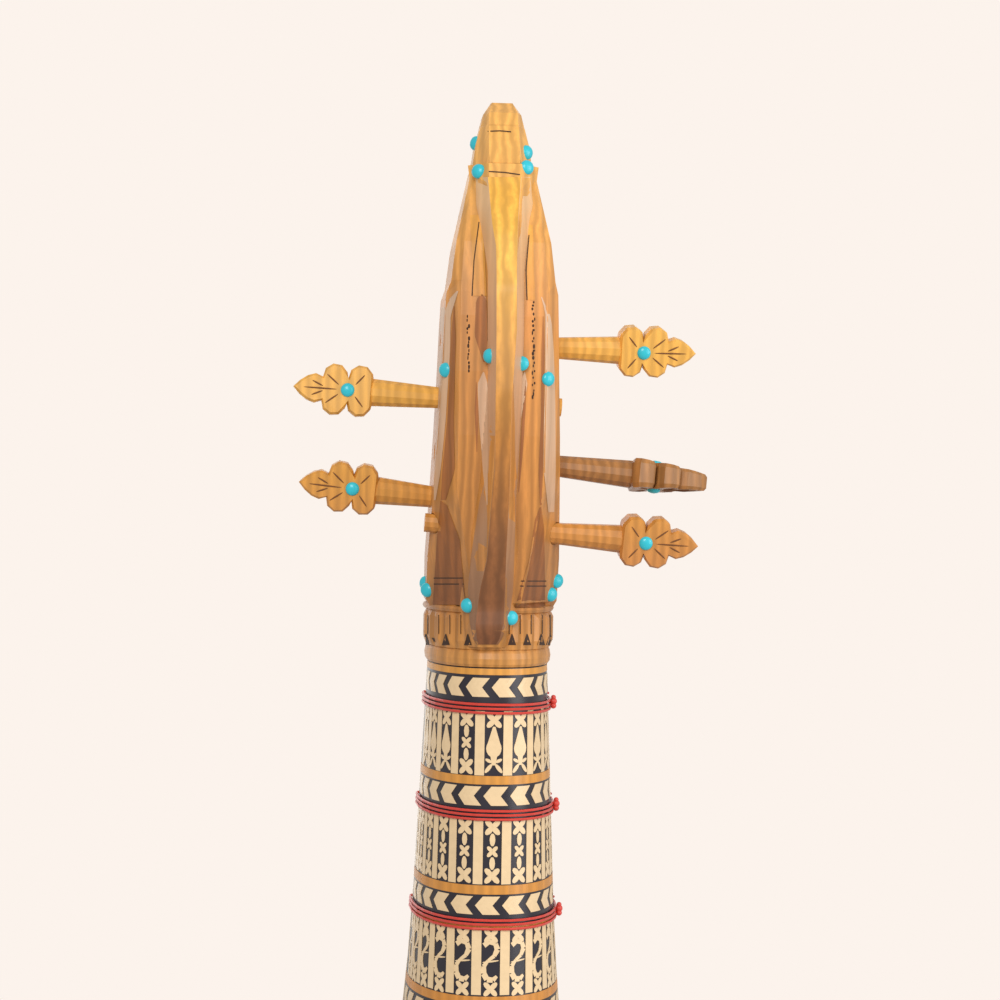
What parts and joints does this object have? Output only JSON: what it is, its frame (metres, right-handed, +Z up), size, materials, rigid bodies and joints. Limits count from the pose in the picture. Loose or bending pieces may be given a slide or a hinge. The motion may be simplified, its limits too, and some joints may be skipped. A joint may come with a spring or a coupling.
{
  "type": "rubab",
  "caption": "Short-necked lute hollowed from one block, with a skin belly, carved pegbox with crest and finial, flower-shaped pegs, sympathetic strings and tied frets.",
  "frame": {"origin": "middle of the flat foot at the tail end of the hull", "axes": "+Z up the neck to the head, -Y out of the front where the strings run, +X to the side of the two left pegs seen from behind"},
  "size_m": [0.2024, 0.1931, 0.9225],
  "materials": {
    "bone": "polished bone",
    "clear_nylon": "clear nylon string",
    "inlay": "bone and black mosaic, polished",
    "mulberry": "carved and oiled mulberry",
    "peg_wood": "carved and oiled wood",
    "red_nylon": "dyed nylon thread",
    "skin": "stretched goatskin",
    "string_steel": "plain steel string"
  },
  "bodies": {
    "rubab": {"hull": "mulberry", "neck_inlay": "inlay", "head": "mulberry", "fingerboard": "bone", "chest_plate": "mulberry", "skin": "skin", "nut": "bone", "bridge": "bone", "string_holder": "bone", "holder_pin_right": "peg_wood", "holder_pin_left": "peg_wood", "main_string_1": "clear_nylon", "main_string_2": "clear_nylon", "main_string_3": "clear_nylon", "main_string_4": "clear_nylon", "main_string_5": "clear_nylon", "sympathetic_string_01": "string_steel", "sympathetic_string_02": "string_steel", "sympathetic_string_03": "string_steel", "sympathetic_string_04": "string_steel", "sympathetic_string_05": "string_steel", "sympathetic_string_06": "string_steel", "sympathetic_string_07": "string_steel", "sympathetic_string_08": "string_steel", "sympathetic_string_09": "string_steel", "sympathetic_string_10": "string_steel", "sympathetic_string_11": "string_steel", "sympathetic_string_12": "string_steel", "sympathetic_string_13": "string_steel"},
    "peg_right_upper": {"peg_right_upper": "peg_wood"},
    "peg_left_upper": {"peg_left_upper": "peg_wood"},
    "peg_right_middle": {"peg_right_middle": "peg_wood"},
    "peg_left_lower": {"peg_left_lower": "peg_wood"},
    "peg_right_lower": {"peg_right_lower": "peg_wood"},
    "sympathetic_peg_01": {"sympathetic_peg_01": "peg_wood"},
    "sympathetic_peg_02": {"sympathetic_peg_02": "peg_wood"},
    "sympathetic_peg_03": {"sympathetic_peg_03": "peg_wood"},
    "sympathetic_peg_04": {"sympathetic_peg_04": "peg_wood"},
    "sympathetic_peg_05": {"sympathetic_peg_05": "peg_wood"},
    "sympathetic_peg_06": {"sympathetic_peg_06": "peg_wood"},
    "sympathetic_peg_07": {"sympathetic_peg_07": "peg_wood"},
    "sympathetic_peg_08": {"sympathetic_peg_08": "peg_wood"},
    "sympathetic_peg_09": {"sympathetic_peg_09": "peg_wood"},
    "sympathetic_peg_10": {"sympathetic_peg_10": "peg_wood"},
    "sympathetic_peg_11": {"sympathetic_peg_11": "peg_wood"},
    "sympathetic_peg_12": {"sympathetic_peg_12": "peg_wood"},
    "sympathetic_peg_13": {"sympathetic_peg_13": "peg_wood"},
    "fret_1": {"fret_1": "red_nylon"},
    "fret_2": {"fret_2": "red_nylon"},
    "fret_3": {"fret_3": "red_nylon"},
    "fret_4": {"fret_4": "red_nylon"}
  },
  "joints": [
    {"name": "peg_right_upper_turn", "type": "hinge", "parent": "rubab", "child": "peg_right_upper", "pos_m": [0, -0.022, 0.8362], "axis": [-0.9999, 0, -0.0122], "continuous": true},
    {"name": "peg_left_upper_turn", "type": "hinge", "parent": "rubab", "child": "peg_left_upper", "pos_m": [0, -0.018, 0.8158], "axis": [0.9983, 0, 0.0576], "continuous": true},
    {"name": "peg_right_middle_turn", "type": "hinge", "parent": "rubab", "child": "peg_right_middle", "pos_m": [0, -0.02, 0.7956], "axis": [-0.9957, 0, -0.0924], "continuous": true},
    {"name": "peg_left_lower_turn", "type": "hinge", "parent": "rubab", "child": "peg_left_lower", "pos_m": [0, -0.026, 0.7796], "axis": [0.9954, 0, 0.0958], "continuous": true},
    {"name": "peg_right_lower_turn", "type": "hinge", "parent": "rubab", "child": "peg_right_lower", "pos_m": [0, -0.013, 0.7709], "axis": [-0.9978, 0, -0.0663], "continuous": true},
    {"name": "sympathetic_peg_01_turn", "type": "hinge", "parent": "rubab", "child": "sympathetic_peg_01", "pos_m": [0, -0.033, 0.408], "axis": [-1, 0, 0], "continuous": true},
    {"name": "sympathetic_peg_02_turn", "type": "hinge", "parent": "rubab", "child": "sympathetic_peg_02", "pos_m": [0, -0.033, 0.4215], "axis": [-1, 0, 0], "continuous": true},
    {"name": "sympathetic_peg_03_turn", "type": "hinge", "parent": "rubab", "child": "sympathetic_peg_03", "pos_m": [0, -0.033, 0.435], "axis": [-1, 0, 0], "continuous": true},
    {"name": "sympathetic_peg_04_turn", "type": "hinge", "parent": "rubab", "child": "sympathetic_peg_04", "pos_m": [0, -0.033, 0.4485], "axis": [-1, 0, 0], "continuous": true},
    {"name": "sympathetic_peg_05_turn", "type": "hinge", "parent": "rubab", "child": "sympathetic_peg_05", "pos_m": [0, -0.033, 0.462], "axis": [-1, 0, 0], "continuous": true},
    {"name": "sympathetic_peg_06_turn", "type": "hinge", "parent": "rubab", "child": "sympathetic_peg_06", "pos_m": [0, -0.033, 0.4755], "axis": [-1, 0, 0], "continuous": true},
    {"name": "sympathetic_peg_07_turn", "type": "hinge", "parent": "rubab", "child": "sympathetic_peg_07", "pos_m": [0, -0.033, 0.489], "axis": [-1, 0, 0], "continuous": true},
    {"name": "sympathetic_peg_08_turn", "type": "hinge", "parent": "rubab", "child": "sympathetic_peg_08", "pos_m": [0, -0.033, 0.5025], "axis": [-1, 0, 0], "continuous": true},
    {"name": "sympathetic_peg_09_turn", "type": "hinge", "parent": "rubab", "child": "sympathetic_peg_09", "pos_m": [0, -0.033, 0.516], "axis": [-1, 0, 0], "continuous": true},
    {"name": "sympathetic_peg_10_turn", "type": "hinge", "parent": "rubab", "child": "sympathetic_peg_10", "pos_m": [0, -0.033, 0.5295], "axis": [-1, 0, 0], "continuous": true},
    {"name": "sympathetic_peg_11_turn", "type": "hinge", "parent": "rubab", "child": "sympathetic_peg_11", "pos_m": [0, -0.033, 0.543], "axis": [-1, 0, 0], "continuous": true},
    {"name": "sympathetic_peg_12_turn", "type": "hinge", "parent": "rubab", "child": "sympathetic_peg_12", "pos_m": [0, -0.033, 0.5565], "axis": [-1, 0, 0], "continuous": true},
    {"name": "sympathetic_peg_13_turn", "type": "hinge", "parent": "rubab", "child": "sympathetic_peg_13", "pos_m": [0, -0.033, 0.57], "axis": [-1, 0, 0], "continuous": true},
    {"name": "fret_1_slide", "type": "slide", "parent": "rubab", "child": "fret_1", "axis": [0, 0, 1], "range_m": [0, 0.006]},
    {"name": "fret_2_slide", "type": "slide", "parent": "rubab", "child": "fret_2", "axis": [0, 0, 1], "range_m": [0, 0.006]},
    {"name": "fret_3_slide", "type": "slide", "parent": "rubab", "child": "fret_3", "axis": [0, 0, 1], "range_m": [0, 0.006]},
    {"name": "fret_4_slide", "type": "slide", "parent": "rubab", "child": "fret_4", "axis": [0, 0, 1], "range_m": [0, 0.006]}
  ]
}
